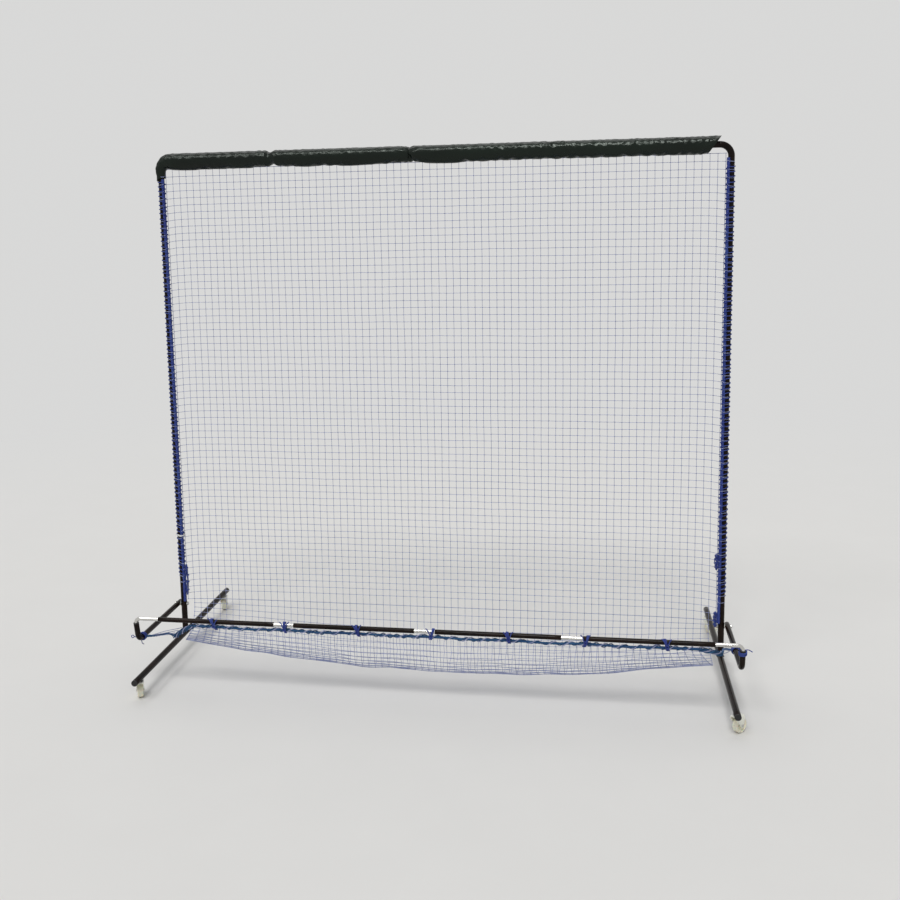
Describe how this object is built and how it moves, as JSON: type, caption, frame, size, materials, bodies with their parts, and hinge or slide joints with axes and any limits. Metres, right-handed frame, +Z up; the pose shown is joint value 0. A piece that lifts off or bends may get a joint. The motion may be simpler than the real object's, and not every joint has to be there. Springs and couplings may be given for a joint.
{
  "type": "rolling ball-catching net",
  "caption": "Upright tube frame on swivel casters with a laced net, a padded sleeve over its top bar and a fold-up net pocket along its foot.",
  "frame": {"origin": "on the floor, midway between the two uprights", "axes": "+X to the right along the width, -Y to the front where the pocket hangs, +Z up"},
  "size_m": [2.0752, 0.9266, 1.889],
  "materials": {
    "black_paint": "gloss black paint",
    "black_plastic": "moulded, satin",
    "black_vinyl": "glossy wrinkled vinyl sleeve over soft filling",
    "bright_steel": "bright plated",
    "zinc_plate": "zinc plated",
    "pale_zinc_fork": "pressed, pale zinc plated",
    "white_nylon": "plain nylon",
    "cream_nylon": "cream nylon",
    "net_cord": "thin knotted cord",
    "blue_cord": "braided cord",
    "dark_blue_rope": "twisted rope"
  },
  "bodies": {
    "frame": {"leg_left": "black_paint", "leg_right": "black_paint", "leg_cap_front_left": "black_plastic", "leg_cap_back_left": "black_plastic", "leg_cap_front_right": "black_plastic", "leg_cap_back_right": "black_plastic", "upright_left": "black_paint", "upright_right": "black_paint", "corner_elbow_left": "black_paint", "corner_elbow_right": "black_paint", "top_bar": "black_paint", "top_pad": "black_vinyl", "net_panel": "net_cord", "edge_lace_left": "blue_cord", "edge_lace_right": "blue_cord", "pivot_bolt_left": "zinc_plate", "pivot_bolt_right": "zinc_plate", "pivot_nut_left": "zinc_plate", "pivot_nut_right": "zinc_plate", "pivot_washer_left": "white_nylon", "pivot_washer_right": "white_nylon", "caster_stem_front_left": "zinc_plate", "caster_stem_front_right": "zinc_plate", "caster_stem_back_left": "zinc_plate", "caster_stem_back_right": "zinc_plate"},
    "pocket_frame": {"pocket_arm_left": "black_paint", "pocket_arm_right": "black_paint", "riser_bush_left": "black_plastic", "riser_bush_right": "black_plastic", "rail_elbow_left": "bright_steel", "rail_elbow_right": "bright_steel", "rail_tube_1": "black_paint", "rail_tube_2": "black_paint", "rail_tube_3": "black_paint", "rail_tube_4": "black_paint", "rail_joiner_1": "bright_steel", "rail_joiner_2": "bright_steel", "rail_joiner_3": "bright_steel", "net_pocket": "net_cord", "front_rope": "dark_blue_rope", "tie_1": "blue_cord", "tie_2": "blue_cord", "tie_3": "blue_cord", "tie_4": "blue_cord", "tie_5": "blue_cord", "tie_6": "blue_cord", "tie_7": "blue_cord"},
    "caster_swivel_front_left": {"caster_fork_front_left": "pale_zinc_fork", "caster_axle_front_left": "zinc_plate"},
    "caster_wheel_front_left": {"caster_wheel_front_left": "cream_nylon"},
    "caster_swivel_front_right": {"caster_fork_front_right": "pale_zinc_fork", "caster_axle_front_right": "zinc_plate"},
    "caster_wheel_front_right": {"caster_wheel_front_right": "cream_nylon"},
    "caster_swivel_back_left": {"caster_fork_back_left": "pale_zinc_fork", "caster_axle_back_left": "zinc_plate"},
    "caster_wheel_back_left": {"caster_wheel_back_left": "cream_nylon"},
    "caster_swivel_back_right": {"caster_fork_back_right": "pale_zinc_fork", "caster_axle_back_right": "zinc_plate"},
    "caster_wheel_back_right": {"caster_wheel_back_right": "cream_nylon"}
  },
  "joints": [
    {"name": "pocket_fold", "type": "hinge", "parent": "frame", "child": "pocket_frame", "pos_m": [0, 0, 0.19], "axis": [-1, 0, 0], "range_deg": [0, 70]},
    {"name": "swivel_front_left", "type": "hinge", "parent": "frame", "child": "caster_swivel_front_left", "pos_m": [-1, -0.418, 0.062], "axis": [0, 0, 1], "continuous": true},
    {"name": "spin_front_left", "type": "hinge", "parent": "caster_swivel_front_left", "child": "caster_wheel_front_left", "pos_m": [-1.00761, -0.40169, 0.025], "axis": [0.9063, 0.4226, 0], "continuous": true},
    {"name": "swivel_front_right", "type": "hinge", "parent": "frame", "child": "caster_swivel_front_right", "pos_m": [1, -0.418, 0.062], "axis": [0, 0, 1], "continuous": true},
    {"name": "spin_front_right", "type": "hinge", "parent": "caster_swivel_front_right", "child": "caster_wheel_front_right", "pos_m": [1.01273, -0.40527, 0.025], "axis": [0.7071, -0.7071, 0], "continuous": true},
    {"name": "swivel_back_left", "type": "hinge", "parent": "frame", "child": "caster_swivel_back_left", "pos_m": [-1, 0.418, 0.062], "axis": [0, 0, 1], "continuous": true},
    {"name": "spin_back_left", "type": "hinge", "parent": "caster_swivel_back_left", "child": "caster_wheel_back_left", "pos_m": [-1.00344, 0.43567, 0.025], "axis": [0.9816, 0.1908, 0], "continuous": true},
    {"name": "swivel_back_right", "type": "hinge", "parent": "frame", "child": "caster_swivel_back_right", "pos_m": [1, 0.418, 0.062], "axis": [0, 0, 1], "continuous": true},
    {"name": "spin_back_right", "type": "hinge", "parent": "caster_swivel_back_right", "child": "caster_wheel_back_right", "pos_m": [1.01273, 0.40527, 0.025], "axis": [-0.7071, -0.7071, 0], "continuous": true}
  ]
}
